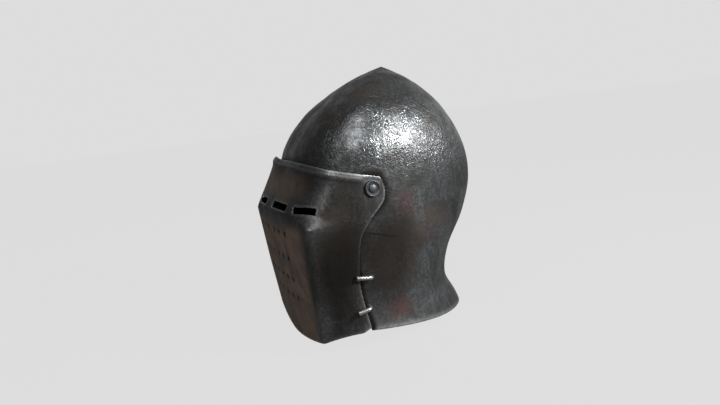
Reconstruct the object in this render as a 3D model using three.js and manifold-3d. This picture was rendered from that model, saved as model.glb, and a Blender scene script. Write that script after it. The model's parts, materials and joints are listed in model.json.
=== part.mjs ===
// Visored barbute: a pointed steel skull with a pivoted visor, standing on its chin and its tail.
//
// Millimetres, +Z up. The helmet has a frame of its own, with its origin midway between the two
// visor pivots, +X to the wearer's left, +Y to the nape and +Z to the crown. The finished group is
// pitched back in that frame until the chin and the tail both stand on the floor, Z = 0.

import * as THREE from 'three';
import { mergeVertices } from 'three/addons/utils/BufferGeometryUtils.js';
import Module from 'manifold-3d';

const wasm = await Module();
wasm.setup();

// Plate thicknesses and the gap that touching pieces keep
const SKULL_PLATE = 2.0;
const VISOR_PLATE = 1.6;
const GAP = 0.3;

// Skull: one row for each level, from the tail up. z is the height, front and back are the reaches
// from the pivot line, half is the half width, and mid is where the level is widest.
const SKULL_LEVELS = [
  { z: -146, front: 48, back: 155, half: 103, mid: 25 },
  { z: -128, front: 50, back: 146, half: 98.5, mid: 25 },
  { z: -104, front: 52, back: 131, half: 95.5, mid: 25 },
  { z: -72, front: 54, back: 135, half: 95, mid: 25 },
  { z: -32, front: 56, back: 155.5, half: 97, mid: 25 },
  { z: 8, front: 55, back: 163.5, half: 98, mid: 25 },
  { z: 44, front: 45, back: 154.5, half: 95, mid: 27 },
  { z: 76, front: 23, back: 134.5, half: 81.5, mid: 33 },
  { z: 100, front: -4.5, back: 112.5, half: 59.5, mid: 41 },
  { z: 118, front: -31, back: 84, half: 34, mid: 49 },
  { z: 131.5, front: -58.8, back: 58.8, half: 0, mid: 58.8 },
];
const SKULL_FRONT_POWER = 2.8;
const SKULL_BACK_POWER = 2.2;
const SKULL_STEPS_AROUND = 48;
const SKULL_STEPS_UP = 22;
const APEX_THICKENING = 1.3;

// The rim is level, and the floor plane runs under the tail and the chin, which is worn a little flat
const RIM_Z = -140;
const CHIN = { y: -45.5, z: -167 };
const CHIN_WEAR = 0.4;
const TAIL_FLAT = { y: 146, z: -140 };

// Face opening of the skull in side view: the brow edge, then down just ahead of the visor's rear edge
const FACE_BROW_Z = 2;
const FACE_EDGE = [
  { y: -44, z: 2 },
  { y: -24, z: -10 },
  { y: -14.5, z: -45 },
  { y: -15.5, z: -80 },
  { y: -10.5, z: -108 },
  { y: -4.5, z: -124 },
  { y: 1, z: -138 },
  { y: 5, z: -150 },
];

// Visor: one row for each level line, from the brow down. The line starts on the centre line, bows
// gently to the corner, bends round the cheek point to the side, and ends in a straight ear.
// soften is the share of the front leg that the rounded corner takes up, and wrap the share of the side.
const VISOR_LINES = [
  { centreY: -57.5, centreZ: 25.2, cornerX: 80, cornerY: -56.5, cornerZ: 21.5, cheekX: 101, cheekY: -44,
    sideX: 101, sideY: -4, sideZ: 12.5, earY: 22, earZ: 9, soften: 0.5, wrap: 0.3, steps: 5 },
  { centreY: -76.4, centreZ: -26, cornerX: 98, cornerY: -68, cornerZ: -27.5, cheekX: 103, cheekY: -42,
    sideX: 101, sideY: -4, sideZ: -33, earY: 22, earZ: -34, soften: 0.3, wrap: 0.3, steps: 2 },
  { centreY: -75.8, centreZ: -34.5, cornerX: 101, cornerY: -65.5, cornerZ: -36, cheekX: 102.5, cheekY: -40,
    sideX: 99, sideY: -10, sideZ: -45, earY: 14, earZ: -46, soften: 0.08, wrap: 0.1, steps: 4 },
  { centreY: -62.8, centreZ: -97, cornerX: 90, cornerY: -54, cornerZ: -97, cheekX: 97, cheekY: -36,
    sideX: 95.5, sideY: -16, sideZ: -93, earY: 10, earZ: -90, soften: 0.08, wrap: 0.1, steps: 4 },
  { centreY: CHIN.y, centreZ: CHIN.z, cornerX: 79, cornerY: -41.7, cornerZ: -154.4, cheekX: 94, cheekY: -24,
    sideX: 102, sideY: -8, sideZ: -141, earY: 6, earZ: -133, soften: 0.12, wrap: 0.12, steps: 0 },
];
const VISOR_STEPS_FRONT = 5;
const VISOR_STEPS_CORNER = 4;
const VISOR_STEPS_SIDE = 6;
const VISOR_STEPS_EAR = 2;
const VISOR_STEPS_ACROSS = VISOR_STEPS_FRONT + VISOR_STEPS_CORNER + VISOR_STEPS_SIDE + VISOR_STEPS_EAR;
const VISOR_STEPS_DOWN = VISOR_LINES.reduce((sum, line) => sum + line.steps, 0);

// Rear edge of the visor in side view, from the ear's top down to the bottom corner
const EAR_TOP = new THREE.Vector2(-2, 40);
const REAR_EDGE = [
  { y: 8.8, z: 10.5 },
  { y: 13.4, z: 0 },
  { y: 13.9, z: -8.8 },
  { y: 11.1, z: -14.5 },
  { y: -2.6, z: -32.9 },
  { y: -9.9, z: -49.7 },
  { y: -10.9, z: -79.6 },
  { y: -7.2, z: -106.5 },
  { y: -0.2, z: -136.5 },
  { y: 4, z: -152 },
];

// Sight slots: from and to are distances round the brow from the centre line, on the level of the sight
const SLOT_HEIGHT = 6.4;
const SLOT_CUT_DEPTH = 16;
const SIGHT_Z = -20.1;
const SIGHT_TRIALS = 400;
const SLOTS = [
  { from: 13, to: 54.5 },
  { from: 73, to: 102 },
];

// Breaths: four rows of six small round holes down the lower face
const BREATH_RADIUS = 1.6;
const BREATH_SIDES = 8;
const BREATH_CUT_DEPTH = 12;
const BREATH_ROWS = [
  { z: -47.4, first: 12.5, pitch: 17 },
  { z: -74, first: 10, pitch: 16 },
  { z: -96.5, first: 10, pitch: 15.6 },
  { z: -118, first: 10.5, pitch: 15.5 },
];
const BREATHS_A_SIDE = 3;

// Pivots
const PIVOT_BORE_RADIUS = 3.1;
const RIVET_SHANK_RADIUS = 2.7;
const RIVET_HEAD_RADIUS = 4.7;
const RIVET_HEAD_HEIGHT = 2.6;
const RIVET_TAIL_RADIUS = 5.2;
const RIVET_TAIL_HEIGHT = 1.8;
const RIVET_TAIL_END_RADIUS = 3.6;
const RIVET_TAIL_SEAT = 93.4;
const RIVET_DOME_STEPS = 5;
const WASHER_RADIUS = 8;
const WASHER_PLATE = 1.2;
const WASHER_RIM_HEIGHT = 2.2;
const WASHER_RIM_WIDTH = 2;
const ROUND_SIDES = 20;

// Keepers: bent pins, shank through the skull and arm over the visor's rear edge
const KEEPER_RADIUS = 2.3;
const KEEPER_BEND = 3.2;
const KEEPER_SIDES = 10;
const KEEPER_STEPS = 9;
const KEEPER_TAIL_RADIUS = 4.4;
const KEEPER_TAIL_END_RADIUS = 3.3;
const KEEPER_TAIL_HEIGHT = 1.6;
const KEEPERS = [
  { name: 'upper', y: 2.1, z: -87.5, reach: 17.5, tilt: -3.2, armX: 98.7, tailX: 90 },
  { name: 'lower', y: -0.7, z: -116.8, reach: 14, tilt: 15.8, armX: 102, tailX: 90.2 },
];

const X_AXIS = new THREE.Vector3(1, 0, 0);
const Y_AXIS = new THREE.Vector3(0, 1, 0);
const Z_AXIS = new THREE.Vector3(0, 0, 1);

// Reach of the cutting shapes past the helmet, and fineness of the measuring
const REACH = 400;
const MERGE_DISTANCE = 1e-4;
const NUDGE = 1e-3;
const HALVINGS = 30;
const EDGE_STEPS = 4;

function solidOf(geometry) {
  const bare = geometry.clone();
  bare.deleteAttribute('normal');
  bare.deleteAttribute('uv');
  const merged = mergeVertices(bare, MERGE_DISTANCE);
  const corners = [];
  const index = merged.index.array;
  for (let i = 0; i < index.length; i += 3) {
    const [a, b, c] = [index[i], index[i + 1], index[i + 2]];
    if (a !== b && b !== c && c !== a) corners.push(a, b, c);
  }
  const mesh = new wasm.Mesh({
    numProp: 3,
    vertProperties: new Float32Array(merged.attributes.position.array),
    triVerts: new Uint32Array(corners),
  });
  return new wasm.Manifold(mesh);
}

function geometryOf(solid) {
  const mesh = solid.getMesh();
  const geometry = new THREE.BufferGeometry();
  geometry.setAttribute('position', new THREE.BufferAttribute(new Float32Array(mesh.vertProperties), 3));
  geometry.setIndex(new THREE.BufferAttribute(new Uint32Array(mesh.triVerts), 1));
  return geometry;
}

function signedPower(value, power) {
  return Math.sign(value) * Math.abs(value) ** power;
}

// A smooth curve through four neighbouring values of one column
function smooth(before, from, to, after, share) {
  const startSlope = (to - before) / 2;
  const endSlope = (after - from) / 2;
  const square = share * share;
  const cube = square * share;
  return from + startSlope * (cube - 2 * square + share) + (to - from) * (3 * square - 2 * cube)
    + endSlope * (cube - square);
}

function skullLevel(height) {
  const last = SKULL_LEVELS.length - 1;
  const place = height * last;
  const row = Math.min(Math.floor(place), last - 1);
  const rows = [row - 1, row, row + 1, row + 2].map((i) => SKULL_LEVELS[THREE.MathUtils.clamp(i, 0, last)]);
  const level = {};
  for (const column of Object.keys(SKULL_LEVELS[0])) {
    level[column] = smooth(...rows.map((r) => r[column]), place - row);
  }
  return level;
}

// A point of the skull's outer face: turn is the angle from the brow, height runs from rim to apex
function skullPoint(turn, height) {
  const level = skullLevel(height);
  const ahead = Math.cos(turn);
  const power = 2 / (ahead > 0 ? SKULL_FRONT_POWER : SKULL_BACK_POWER);
  const reach = ahead > 0 ? level.front + level.mid : level.back - level.mid;
  return new THREE.Vector3(
    level.half * signedPower(Math.sin(turn), power),
    level.mid - reach * signedPower(ahead, power),
    level.z,
  );
}

// A point of one of the visor's lines: across runs from the centre line, 0, to the ear's end, 1
function visorLinePoint(line, across) {
  const front = (share) => new THREE.Vector3(
    line.cornerX * share,
    THREE.MathUtils.lerp(line.centreY, line.cornerY, share * share),
    THREE.MathUtils.lerp(line.centreZ, line.cornerZ, share * share),
  );
  const corner = new THREE.Vector3(line.cornerX, line.cornerY, line.cornerZ);
  const cheek = new THREE.Vector3(line.cheekX, line.cheekY, (line.cornerZ + line.sideZ) / 2);
  const sideEnd = new THREE.Vector3(line.sideX, line.sideY, line.sideZ);
  const side = new THREE.QuadraticBezierCurve3(corner, cheek, sideEnd);
  const straight = 1 - line.soften;
  const bend = new THREE.QuadraticBezierCurve3(front(straight), corner, side.getPoint(line.wrap));
  let step = across * VISOR_STEPS_ACROSS;
  if (step <= VISOR_STEPS_FRONT) return front((straight * step) / VISOR_STEPS_FRONT);
  step -= VISOR_STEPS_FRONT;
  if (step <= VISOR_STEPS_CORNER) return bend.getPoint(step / VISOR_STEPS_CORNER);
  step -= VISOR_STEPS_CORNER;
  if (step <= VISOR_STEPS_SIDE) return side.getPoint(line.wrap + ((1 - line.wrap) * step) / VISOR_STEPS_SIDE);
  step -= VISOR_STEPS_SIDE;
  return sideEnd.lerp(new THREE.Vector3(line.sideX, line.earY, line.earZ), step / VISOR_STEPS_EAR);
}

// A point of the visor's outer face: rise runs from the chin, 0, to the brow edge, 1
function visorPoint(across, rise) {
  let step = (1 - rise) * VISOR_STEPS_DOWN;
  let row = 0;
  while (row < VISOR_LINES.length - 2 && step > VISOR_LINES[row].steps) {
    step -= VISOR_LINES[row].steps;
    row += 1;
  }
  const upper = visorLinePoint(VISOR_LINES[row], Math.abs(across));
  const lower = visorLinePoint(VISOR_LINES[row + 1], Math.abs(across));
  const point = upper.lerp(lower, step / VISOR_LINES[row].steps);
  point.x *= across < 0 ? -1 : 1;
  return point;
}

// The direction that a face looks in, and the point of the plate's inner face straight under it
function outwardAt(surface, first, second) {
  const alongFirst = surface(first + NUDGE, second).sub(surface(first - NUDGE, second));
  const alongSecond = surface(first, second + NUDGE).sub(surface(first, second - NUDGE));
  return alongFirst.cross(alongSecond).normalize();
}

function innerPoint(surface, first, second, plate) {
  return surface(first, second).addScaledVector(outwardAt(surface, first, second), -plate);
}

// The share from 0 to 1 at which a rising measure reaches its target
function shareWhere(measure, target) {
  let low = 0;
  let high = 1;
  for (let i = 0; i < HALVINGS; i += 1) {
    const middle = (low + high) / 2;
    if (measure(middle) < target) low = middle;
    else high = middle;
  }
  return low;
}

// A prism across the whole helmet whose outline is drawn in side view, in (y, z)
function sidePrism(outline) {
  const geometry = new THREE.ExtrudeGeometry(outline, { depth: REACH, bevelEnabled: false });
  geometry.translate(0, 0, -REACH / 2);
  geometry.applyMatrix4(new THREE.Matrix4().makeBasis(Y_AXIS, Z_AXIS, X_AXIS));
  return solidOf(geometry);
}

function sideOutline(points, closing) {
  const curve = new THREE.SplineCurve(points.map((p) => new THREE.Vector2(p.y, p.z)));
  return new THREE.Shape([...curve.getPoints(EDGE_STEPS * (points.length - 1)), ...closing]);
}

function crossBore(radius, y, z) {
  const geometry = new THREE.CylinderGeometry(radius, radius, REACH, ROUND_SIDES);
  geometry.rotateZ(Math.PI / 2);
  geometry.translate(0, y, z);
  return solidOf(geometry);
}

const FLOOR_CHIN_Z = CHIN.z + CHIN_WEAR;
const FLOOR_PITCH = Math.atan2(TAIL_FLAT.z - FLOOR_CHIN_Z, TAIL_FLAT.y - CHIN.y);

function underFloor() {
  const geometry = new THREE.BoxGeometry(REACH, REACH, REACH);
  geometry.translate(0, 0, -REACH / 2);
  geometry.rotateX(FLOOR_PITCH);
  geometry.translate(0, CHIN.y, FLOOR_CHIN_Z);
  return solidOf(geometry);
}

function underRim() {
  const geometry = new THREE.BoxGeometry(REACH, REACH, REACH);
  geometry.translate(0, 0, RIM_Z - REACH / 2);
  return solidOf(geometry);
}

function buildSkull() {
  const outline = [];
  for (let i = SKULL_STEPS_UP; i >= 0; i -= 1) outline.push({ height: i / SKULL_STEPS_UP, inner: true });
  for (let i = 0; i <= SKULL_STEPS_UP; i += 1) outline.push({ height: i / SKULL_STEPS_UP, inner: false });
  const profile = outline.map((p) => new THREE.Vector2(p.height < 1 ? 1 : 0, p.height));
  const geometry = new THREE.LatheGeometry(profile, SKULL_STEPS_AROUND);
  const position = geometry.attributes.position;
  for (let i = 0; i < position.count; i += 1) {
    const { height, inner } = outline[i % outline.length];
    const turn = (2 * Math.PI * Math.floor(i / outline.length)) / SKULL_STEPS_AROUND;
    let point = skullPoint(turn, height);
    if (inner && height < 1) point = innerPoint(skullPoint, turn, height, SKULL_PLATE);
    if (inner && height === 1) point.z -= APEX_THICKENING * SKULL_PLATE;
    position.setXYZ(i, point.x, point.y, point.z);
  }
  const ahead = [new THREE.Vector2(-REACH, -REACH), new THREE.Vector2(-REACH, FACE_BROW_Z)];
  const face = sideOutline(FACE_EDGE, ahead);
  let skull = solidOf(geometry).subtract(underRim()).subtract(underFloor()).subtract(sidePrism(face));
  skull = skull.subtract(crossBore(PIVOT_BORE_RADIUS, 0, 0));
  for (const keeper of KEEPERS) {
    skull = skull.subtract(crossBore(KEEPER_RADIUS + GAP, keeper.y, keeper.z));
  }
  return geometryOf(skull);
}

function visorSheet() {
  const geometry = new THREE.BoxGeometry(2, 1, 1, 2 * VISOR_STEPS_ACROSS, VISOR_STEPS_DOWN, 1);
  const position = geometry.attributes.position;
  for (let i = 0; i < position.count; i += 1) {
    const across = position.getX(i);
    const rise = position.getY(i) + 0.5;
    const inner = position.getZ(i) < 0;
    const point = inner ? innerPoint(visorPoint, across, rise, VISOR_PLATE) : visorPoint(across, rise);
    position.setXYZ(i, point.x, point.y, point.z);
  }
  return solidOf(geometry);
}

// The place on the sight line that lies a given distance round the brow from the centre
function sightPoint(distance) {
  const rise = shareWhere((share) => visorPoint(0, share).z, SIGHT_Z);
  let travelled = 0;
  let last = visorPoint(0, rise);
  for (let i = 1; i <= SIGHT_TRIALS; i += 1) {
    const next = visorPoint(i / SIGHT_TRIALS, rise);
    travelled += next.distanceTo(last);
    if (travelled >= distance) return next;
    last = next;
  }
  return last;
}

function slotCutter(slot, side) {
  const ends = [sightPoint(slot.from), sightPoint(slot.to)];
  if (side < 0) ends.reverse();
  for (const end of ends) end.x *= side;
  const along = ends[1].clone().sub(ends[0]);
  const geometry = new THREE.BoxGeometry(along.length(), SLOT_CUT_DEPTH, SLOT_HEIGHT);
  along.normalize();
  const inward = Z_AXIS.clone().cross(along).normalize();
  const up = along.clone().cross(inward);
  geometry.applyMatrix4(new THREE.Matrix4().makeBasis(along, inward, up));
  const middle = ends[0].add(ends[1]).multiplyScalar(0.5);
  geometry.translate(middle.x, middle.y, middle.z);
  return solidOf(geometry);
}

function breathCutter(x, z) {
  const rise = shareWhere((share) => visorPoint(0, share).z, z);
  const across = shareWhere((share) => visorPoint(share, rise).x, Math.abs(x)) * Math.sign(x);
  const place = visorPoint(across, rise);
  const geometry = new THREE.CylinderGeometry(BREATH_RADIUS, BREATH_RADIUS, BREATH_CUT_DEPTH, BREATH_SIDES);
  geometry.applyQuaternion(
    new THREE.Quaternion().setFromUnitVectors(Y_AXIS, outwardAt(visorPoint, across, rise)),
  );
  geometry.translate(place.x, place.y, place.z);
  return solidOf(geometry);
}

function buildVisor() {
  const ahead = [new THREE.Vector2(-REACH, -REACH), new THREE.Vector2(-REACH, EAR_TOP.y), EAR_TOP];
  let visor = visorSheet().intersect(sidePrism(sideOutline(REAR_EDGE, ahead)));
  for (const side of [1, -1]) {
    for (const slot of SLOTS) visor = visor.subtract(slotCutter(slot, side));
    for (const row of BREATH_ROWS) {
      for (let i = 0; i < BREATHS_A_SIDE; i += 1) {
        visor = visor.subtract(breathCutter(side * (row.first + i * row.pitch), row.z));
      }
    }
  }
  return geometryOf(visor.subtract(crossBore(PIVOT_BORE_RADIUS, 0, 0)).subtract(underFloor()));
}

// A turned piece whose axis is the pivot line, from (distance out, radius) points
function turned(points) {
  const profile = points.map(([out, radius]) => new THREE.Vector2(radius, out));
  const geometry = new THREE.LatheGeometry(profile, ROUND_SIDES);
  geometry.rotateZ(-Math.PI / 2);
  return geometryOf(solidOf(geometry));
}

const EAR_FACE = VISOR_LINES[0].sideX;
const WASHER_FOOT = EAR_FACE + GAP;

function buildWasher() {
  const top = WASHER_FOOT + WASHER_PLATE;
  const rimTop = WASHER_FOOT + WASHER_RIM_HEIGHT;
  const rimInner = WASHER_RADIUS - WASHER_RIM_WIDTH;
  return turned([
    [WASHER_FOOT, PIVOT_BORE_RADIUS],
    [WASHER_FOOT, WASHER_RADIUS],
    [top, WASHER_RADIUS],
    [rimTop, WASHER_RADIUS - WASHER_RIM_WIDTH / 3],
    [rimTop, rimInner + WASHER_RIM_WIDTH / 3],
    [top, rimInner],
    [top, PIVOT_BORE_RADIUS],
    [WASHER_FOOT, PIVOT_BORE_RADIUS],
  ]);
}

function buildRivet() {
  const seat = WASHER_FOOT + WASHER_PLATE + GAP;
  const dome = [];
  for (let i = 0; i <= RIVET_DOME_STEPS; i += 1) {
    const turn = (Math.PI / 2) * (i / RIVET_DOME_STEPS);
    dome.push([seat + RIVET_HEAD_HEIGHT * Math.sin(turn), RIVET_HEAD_RADIUS * Math.cos(turn)]);
  }
  dome[RIVET_DOME_STEPS][1] = 0;
  return turned([
    [RIVET_TAIL_SEAT - RIVET_TAIL_HEIGHT, 0],
    [RIVET_TAIL_SEAT - RIVET_TAIL_HEIGHT, RIVET_TAIL_END_RADIUS],
    [RIVET_TAIL_SEAT, RIVET_TAIL_RADIUS],
    [RIVET_TAIL_SEAT, RIVET_SHANK_RADIUS],
    [seat, RIVET_SHANK_RADIUS],
    ...dome,
  ]);
}

// A keeper in its own frame: the shank along X through the skull, the arm forward along -Y
function buildKeeper(keeper) {
  const armX = keeper.armX;
  const path = new THREE.CurvePath();
  const bendStart = new THREE.Vector3(armX - KEEPER_BEND, 0, 0);
  const bendEnd = new THREE.Vector3(armX, -KEEPER_BEND, 0);
  path.add(new THREE.LineCurve3(new THREE.Vector3(keeper.tailX, 0, 0), bendStart));
  path.add(new THREE.QuadraticBezierCurve3(bendStart, new THREE.Vector3(armX, 0, 0), bendEnd));
  path.add(new THREE.LineCurve3(bendEnd, new THREE.Vector3(armX, -keeper.reach, 0)));
  const circle = new THREE.Shape();
  circle.absarc(0, 0, KEEPER_RADIUS, 0, 2 * Math.PI);
  const rod = new THREE.ExtrudeGeometry(circle, {
    steps: KEEPER_STEPS, extrudePath: path, curveSegments: KEEPER_SIDES / 2, bevelEnabled: false,
  });
  const button = new THREE.CylinderGeometry(
    KEEPER_TAIL_RADIUS, KEEPER_TAIL_END_RADIUS, KEEPER_TAIL_HEIGHT, KEEPER_SIDES,
  );
  button.rotateZ(-Math.PI / 2);
  button.translate(keeper.tailX, 0, 0);
  return geometryOf(solidOf(rod).add(solidOf(button)));
}

function steel(color, roughness, metalness) {
  return new THREE.MeshStandardMaterial({ color, roughness, metalness });
}

const blackenedSteel = () => steel(0x4a4b4c, 0.45, 0.9);
const brownedSteel = () => steel(0x453f39, 0.5, 0.85);
const wornSteel = () => steel(0x6a6b6b, 0.4, 0.9);
const brightSteel = () => steel(0xa9a9a6, 0.3, 1);

function piece(name, geometry, material) {
  const mesh = new THREE.Mesh(geometry, material);
  mesh.name = name;
  return mesh;
}

const helmet = new THREE.Group();
helmet.add(piece('skull', buildSkull(), blackenedSteel()));
helmet.add(piece('visor', buildVisor(), brownedSteel()));
for (const [hand, turn] of [['left', 0], ['right', Math.PI]]) {
  const washer = piece(`pivot_washer_${hand}`, buildWasher(), wornSteel());
  washer.rotation.z = turn;
  const rivet = piece(`pivot_rivet_${hand}`, buildRivet(), wornSteel());
  rivet.rotation.z = turn;
  helmet.add(washer, rivet);
  for (const keeper of KEEPERS) {
    const pin = piece(`keeper_${keeper.name}_${hand}`, buildKeeper(keeper), brightSteel());
    pin.rotation.set(THREE.MathUtils.degToRad(keeper.tilt), turn, 0);
    pin.position.set(0, keeper.y, keeper.z);
    helmet.add(pin);
  }
}

// Pitch the helmet back until chin and tail stand on the floor, with the origin under its middle
helmet.rotation.x = -FLOOR_PITCH;
const barbute = new THREE.Group();
barbute.add(helmet);
barbute.updateMatrixWorld(true);
const box = new THREE.Box3().setFromObject(barbute, true);
helmet.position.set(0, -(box.min.y + box.max.y) / 2, -box.min.z);

export default barbute;
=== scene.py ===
import json
import math

import bmesh
import bpy
from mathutils import Matrix, Vector, kdtree, noise


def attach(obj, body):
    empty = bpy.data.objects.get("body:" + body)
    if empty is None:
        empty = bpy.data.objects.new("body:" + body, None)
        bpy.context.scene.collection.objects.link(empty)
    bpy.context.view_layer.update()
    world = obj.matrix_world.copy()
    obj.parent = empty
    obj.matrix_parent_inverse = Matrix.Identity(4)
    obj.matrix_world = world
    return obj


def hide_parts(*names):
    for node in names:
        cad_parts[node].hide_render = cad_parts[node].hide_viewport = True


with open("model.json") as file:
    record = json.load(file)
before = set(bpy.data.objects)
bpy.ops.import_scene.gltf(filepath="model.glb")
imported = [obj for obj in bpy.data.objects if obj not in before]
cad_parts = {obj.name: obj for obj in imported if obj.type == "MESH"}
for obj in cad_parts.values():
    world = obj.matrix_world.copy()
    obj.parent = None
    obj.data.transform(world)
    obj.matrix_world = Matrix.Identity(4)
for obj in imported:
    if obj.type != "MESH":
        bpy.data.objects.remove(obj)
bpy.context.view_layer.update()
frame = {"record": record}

# Camera: level with the brow and close to the wearer's left cheek, as in the photograph.
# The helmet is measured upright, in millimetres from the middle of its visor pivots; it stands
# pitched back from that until its chin and its tail both touch the floor.
PIVOT = Vector(frame["record"]["behaviour"]["joints"][0]["pos_m"])
FLOOR_LINE = {"rise": 26.6, "run": 191.5}
EYE = Vector((517.58, -198.04, 37.32))
AIM = Vector((0, 32.40, -25.23))
FOCAL_PIXELS = 489
PHOTO_WIDTH = 720

pitch = math.atan2(FLOOR_LINE["rise"], FLOOR_LINE["run"])
standing = Matrix.Translation(PIVOT) @ Matrix.Rotation(-pitch, 4, "X") @ Matrix.Scale(0.001, 4)

camera_data = bpy.data.cameras.new("camera")
camera_data.sensor_fit = "HORIZONTAL"
camera_data.sensor_width = 36
camera_data.lens = 36 * FOCAL_PIXELS / PHOTO_WIDTH
camera_data.clip_start = 0.01
camera = bpy.data.objects.new("camera", camera_data)
backward = ((standing @ EYE) - (standing @ AIM)).normalized()
upward = (standing.to_3x3() @ Vector((0, 0, 1))).normalized()
sideways = upward.cross(backward).normalized()
camera.matrix_world = Matrix.Translation(standing @ EYE) @ Matrix(
    (sideways, backward.cross(sideways), backward)).transposed().to_4x4()
bpy.context.scene.collection.objects.link(camera)
bpy.context.scene.camera = camera
bpy.context.scene.view_settings.view_transform = "Standard"

# Studio: a plain pale floor that runs into a pale wall, a small bright lamp behind the photographer's
# right shoulder, a wide soft box overhead, and a wall behind the helmet that lights its outlines.
PALE = 0.724
FLOOR_SIZE = 60.0
FLOOR_GLOW = 0.713
FLOOR_SEEN = (0.012, 0.012, 0.012, 1)
FLOOR_REFLECTED = (0.22, 0.22, 0.22, 1)
WALL_DIRECTION = Vector((-0.42, 0.9, 0.1))
WALL_LIGHT = {"From Min": -0.1, "From Max": 0.95, "To Min": 0.10, "To Max": 0.73}
CEILING_DUSK = {"From Min": 0.15, "From Max": 0.8, "To Min": 1.0, "To Max": 0.3}
LAMPS = [
    {"name": "key", "towards": (0.70, 0.53, 0.49), "away": 1.1, "size": 0.07, "watts": 16.5},
    {"name": "overhead", "towards": (0.56, -0.42, 0.70), "away": 1.2, "size": 1.0, "watts": 11.0},
]


def socket(node, name, value):
    node.inputs[name].default_value = value


def add_node(tree, kind, **settings):
    node = tree.nodes.new(kind)
    for name, value in settings.items():
        setattr(node, name, value)
    return node


floor_mesh = bpy.data.meshes.new("floor")
shape = bmesh.new()
bmesh.ops.create_grid(shape, x_segments=1, y_segments=1, size=FLOOR_SIZE)
shape.to_mesh(floor_mesh)
shape.free()
floor = bpy.data.objects.new("floor", floor_mesh)
bpy.context.scene.collection.objects.link(floor)

paint = bpy.data.materials.new("pale floor")
paint.use_nodes = True
tree = paint.node_tree
bsdf = tree.nodes["Principled BSDF"]
socket(bsdf, "Roughness", 0.9)
socket(bsdf, "Specular IOR Level", 0.0)
socket(bsdf, "Emission Color", (1, 1, 1, 1))
ray = add_node(tree, "ShaderNodeLightPath")
glow = add_node(tree, "ShaderNodeMath", operation="MULTIPLY")
glow.inputs[1].default_value = FLOOR_GLOW
tree.links.new(ray.outputs["Is Camera Ray"], glow.inputs[0])
tree.links.new(glow.outputs[0], bsdf.inputs["Emission Strength"])
tone = add_node(tree, "ShaderNodeMix", data_type="RGBA")
tone.inputs[6].default_value = FLOOR_REFLECTED
tone.inputs[7].default_value = FLOOR_SEEN
tree.links.new(ray.outputs["Is Camera Ray"], tone.inputs[0])
tree.links.new(tone.outputs[2], bsdf.inputs["Base Color"])
floor_mesh.materials.append(paint)

world = bpy.data.worlds.new("studio")
bpy.context.scene.world = world
world.use_nodes = True
tree = world.node_tree
background = tree.nodes["Background"]
place = add_node(tree, "ShaderNodeTexCoord")
facing = add_node(tree, "ShaderNodeVectorMath", operation="DOT_PRODUCT")
facing.inputs[1].default_value = WALL_DIRECTION.normalized()
tree.links.new(place.outputs["Generated"], facing.inputs[0])
spread = add_node(tree, "ShaderNodeMapRange", interpolation_type="SMOOTHSTEP")
for name, value in WALL_LIGHT.items():
    socket(spread, name, value)
tree.links.new(facing.outputs["Value"], spread.inputs["Value"])
ray = add_node(tree, "ShaderNodeLightPath")
seen = add_node(tree, "ShaderNodeMix", data_type="FLOAT")
tree.links.new(ray.outputs["Is Camera Ray"], seen.inputs[0])
rise = add_node(tree, "ShaderNodeSeparateXYZ")
tree.links.new(place.outputs["Generated"], rise.inputs[0])
dusk = add_node(tree, "ShaderNodeMapRange", interpolation_type="SMOOTHSTEP")
for name, value in CEILING_DUSK.items():
    socket(dusk, name, value)
tree.links.new(rise.outputs["Z"], dusk.inputs["Value"])
glow = add_node(tree, "ShaderNodeMath", operation="MULTIPLY")
tree.links.new(spread.outputs["Result"], glow.inputs[0])
tree.links.new(dusk.outputs["Result"], glow.inputs[1])
tree.links.new(glow.outputs[0], seen.inputs[2])
seen.inputs[3].default_value = PALE
tree.links.new(seen.outputs[0], background.inputs["Strength"])
background.inputs["Color"].default_value = (1, 1, 1, 1)

for lamp in LAMPS:
    light = bpy.data.lights.new(lamp["name"], "AREA")
    light.shape = "DISK"
    light.size = lamp["size"]
    light.energy = lamp["watts"]
    stand = bpy.data.objects.new(lamp["name"], light)
    towards = (standing.to_3x3() @ Vector(lamp["towards"])).normalized()
    stand.location = PIVOT + towards * lamp["away"]
    stand.rotation_euler = towards.to_track_quat("Z", "Y").to_euler()
    bpy.context.scene.collection.objects.link(stand)

# Skull: one sheet of 2 mm steel raised by hammer from the tail up to a point, with a face opening cut
# out of its front. It is blackened, bruised by the hammer over the crown and stained lower down.
SKULL_PLATE = 2.0
SKULL_LEVELS = [
    {"z": -146, "front": 48, "back": 154.3, "half": 103, "mid": 25},
    {"z": -128, "front": 50, "back": 145.3, "half": 98.5, "mid": 25},
    {"z": -104, "front": 52, "back": 130.3, "half": 95.5, "mid": 25},
    {"z": -72, "front": 54, "back": 134.3, "half": 95, "mid": 25},
    {"z": -32, "front": 56, "back": 154.8, "half": 97, "mid": 25},
    {"z": 8, "front": 55, "back": 162.8, "half": 98, "mid": 25},
    {"z": 44, "front": 45, "back": 153.8, "half": 95, "mid": 27},
    {"z": 76, "front": 23, "back": 133.8, "half": 81.5, "mid": 33},
    {"z": 100, "front": -4.5, "back": 111.8, "half": 59.5, "mid": 41},
    {"z": 118, "front": -31, "back": 84, "half": 34, "mid": 49},
    {"z": 131.2, "front": -58.8, "back": 58.8, "half": 0, "mid": 58.8},
]
FRONT_POWER = 2.8
BACK_POWER = 2.2
RIM_Z = -140
TAIL_FLAT_Y = 146
TAIL_BEND_Z = -122
TAIL_LIFT = 1.3
BROW_Z = 2
FACE_EDGE = [
    (2, -44), (-10, -24), (-45, -14.5), (-80, -15.5), (-108, -10.5), (-124, -4.5), (-138, 1), (-150, 5),
]
COLUMNS_BROW = 26
COLUMNS_SIDE = 118
ROWS_UNDER_BROW = 58
ROWS_OVER_BROW = 72


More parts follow.
